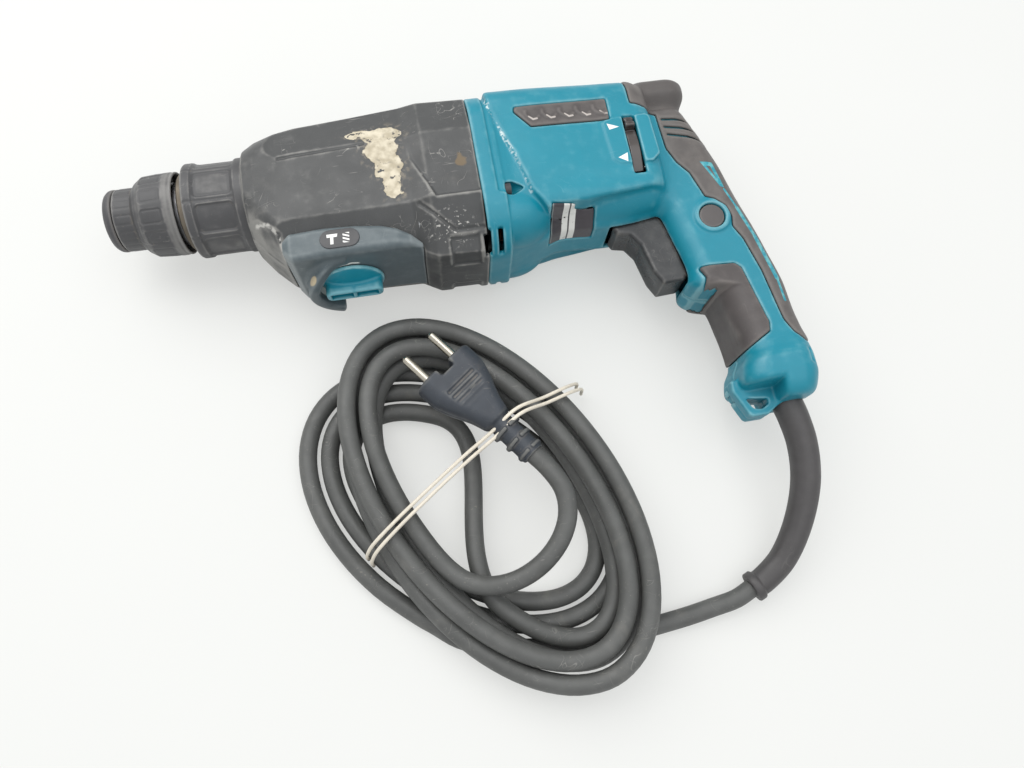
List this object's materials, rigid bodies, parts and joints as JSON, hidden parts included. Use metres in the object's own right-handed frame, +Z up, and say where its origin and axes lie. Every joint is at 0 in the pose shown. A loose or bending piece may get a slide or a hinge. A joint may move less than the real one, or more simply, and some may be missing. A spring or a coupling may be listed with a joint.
{
  "type": "rotary hammer",
  "caption": "Corded rotary hammer with a pistol handle, quick chuck, mode knob, swash drive and motor inside, its cord wound in a hank with a two-pin plug.",
  "frame": {"origin": "centre of the tool's bounding box (without the cord) on the surface it lies on", "axes": "+X along the barrel from the chuck to the handle, +Y from the handle's base to the top of the tool, +Z up, out of the tool's left side"},
  "size_m": [0.361, 0.3247, 0.077],
  "materials": {
    "grey_shell": "moulded, dusty and scuffed",
    "teal_shell": "fine grain, scuffed",
    "mode_shell": "moulded blue-grey",
    "grip_rubber": "soft overmould, dusty",
    "chuck_plastic": "moulded, worn",
    "black_plastic": "moulded",
    "badge": "printed plate",
    "knob_plastic": "moulded, dusty",
    "steel": "ground and oiled",
    "bearing_steel": "polished",
    "spring_steel": "drawn wire",
    "cast_alloy": "die cast",
    "laminations": "varnished steel sheets",
    "copper": "turned copper bars",
    "winding": "enamelled copper wire",
    "carbon": "pressed carbon",
    "label": "printed film",
    "screw_steel": "blackened",
    "cord_rubber": "rubber jacket, dusty",
    "plug_rubber": "moulded",
    "pin_metal": "nickel plated",
    "band": "elastic band",
    "seal": "oil resistant"
  },
  "bodies": {
    "housing": {"front_bearing": "bearing_steel", "oil_seal": "seal", "barrel": "cast_alloy", "barrel_collar": "chuck_plastic", "gear_cover": "grey_shell", "inner_housing": "cast_alloy", "mode_cover": "mode_shell", "mode_badge": "badge", "layshaft_bearings": "bearing_steel", "armature_bearings": "bearing_steel", "field_core": "laminations", "field_coils": "winding", "baffle": "black_plastic", "motor_housing": "teal_shell", "handle_cover": "teal_shell", "bumper": "grip_rubber", "grip_insert": "grip_rubber", "top_insert": "grip_rubber", "rating_label": "label", "switch_body": "black_plastic", "flange_screws": "screw_steel", "handle_screws": "screw_steel", "cord_clamp": "black_plastic", "leads": "black_plastic", "cord_guard": "cord_rubber", "cord_run": "cord_rubber", "cord_hank": "cord_rubber", "cord_tie": "band", "plug_body": "plug_rubber", "plug_pins": "pin_metal"},
    "spindle": {"tool_holder": "steel", "front_cap": "grip_rubber", "locking_balls": "bearing_steel", "chuck_spring": "spring_steel", "cylinder": "steel", "spindle_gear": "steel", "clutch_spring": "spring_steel"},
    "chuck": {"chuck_cover": "chuck_plastic", "chuck_ring": "steel"},
    "striker": {"striker": "steel", "striker_seal": "seal"},
    "bolt": {"impact_bolt": "steel"},
    "piston": {"piston": "cast_alloy"},
    "swash_arm": {"swash_arm": "steel"},
    "layshaft": {"layshaft": "steel", "drive_pinion": "steel", "first_gear": "steel", "swash_hub": "steel", "swash_balls": "bearing_steel"},
    "armature": {"armature_shaft": "steel", "armature_core": "laminations", "commutator": "copper", "fan": "black_plastic"},
    "mode_knob": {"mode_knob": "knob_plastic"},
    "shift_plate": {"shift_plate": "steel"},
    "reverser": {"brush_ring": "black_plastic", "brushes": "carbon", "reversing_lever": "black_plastic"},
    "trigger": {"trigger": "black_plastic"},
    "lock_button": {"lock_button": "grip_rubber"}
  },
  "joints": [
    {"name": "spindle_spin", "type": "hinge", "parent": "housing", "child": "spindle", "pos_m": [0.0205, 0.0645, 0.0385], "axis": [1, 0, 0], "continuous": true},
    {"name": "chuck_pull", "type": "slide", "parent": "spindle", "child": "chuck", "axis": [1, 0, 0], "range_m": [0, 0.005], "stiffness_N_per_m": 900, "springref_m": -0.008, "deforming": ["chuck_spring"]},
    {"name": "striker_slide", "type": "slide", "parent": "spindle", "child": "striker", "axis": [1, 0, 0], "range_m": [-0.001, 0.002]},
    {"name": "bolt_slide", "type": "slide", "parent": "spindle", "child": "bolt", "axis": [1, 0, 0], "range_m": [-0.0015, 0.0015]},
    {"name": "layshaft_spin", "type": "hinge", "parent": "housing", "child": "layshaft", "pos_m": [0.0205, 0.0315, 0.0385], "axis": [1, 0, 0], "continuous": true},
    {"name": "armature_spin", "type": "hinge", "parent": "housing", "child": "armature", "pos_m": [0.0205, 0.0515, 0.0385], "axis": [1, 0, 0], "continuous": true},
    {"name": "swash_rock", "type": "hinge", "parent": "housing", "child": "swash_arm", "pos_m": [-0.0365, 0.0315, 0.0385], "axis": [0, 0, 1], "range_deg": [-15, 15]},
    {"name": "piston_slide", "type": "slide", "parent": "housing", "child": "piston", "axis": [1, 0, 0], "range_m": [-0.0075, 0.0075]},
    {"name": "mode_turn", "type": "hinge", "parent": "housing", "child": "mode_knob", "pos_m": [-0.054, 0.0085, 0.0415], "axis": [0, -1, 0], "range_deg": [0, 90]},
    {"name": "shift_slide", "type": "slide", "parent": "housing", "child": "shift_plate", "axis": [1, 0, 0], "range_m": [-0.0001, 0.0049]},
    {"name": "reversing_turn", "type": "hinge", "parent": "housing", "child": "reverser", "pos_m": [0.1045, 0.0515, 0.0385], "axis": [1, 0, 0], "range_deg": [0, 42]},
    {"name": "trigger_pull", "type": "hinge", "parent": "housing", "child": "trigger", "pos_m": [0.1135, 0.0215, 0.0385], "axis": [0, 0, 1], "range_deg": [0, 7], "stiffness_Nm_per_rad": 2, "springref_deg": -6.88},
    {"name": "lock_press", "type": "slide", "parent": "housing", "child": "lock_button", "axis": [0, 0, 1], "range_m": [-0.003, 0], "stiffness_N_per_m": 500, "springref_m": 0.002}
  ],
  "couplings": [
    {"joint": "layshaft_spin", "follows": "spindle_spin", "ratio": -5},
    {"joint": "armature_spin", "follows": "spindle_spin", "ratio": 29.286},
    {"joint": "swash_rock", "follows": "piston_slide", "rad_per_m": -34.483},
    {"joint": "shift_slide", "follows": "mode_turn", "m_per_rad": 0.0030611}
  ]
}
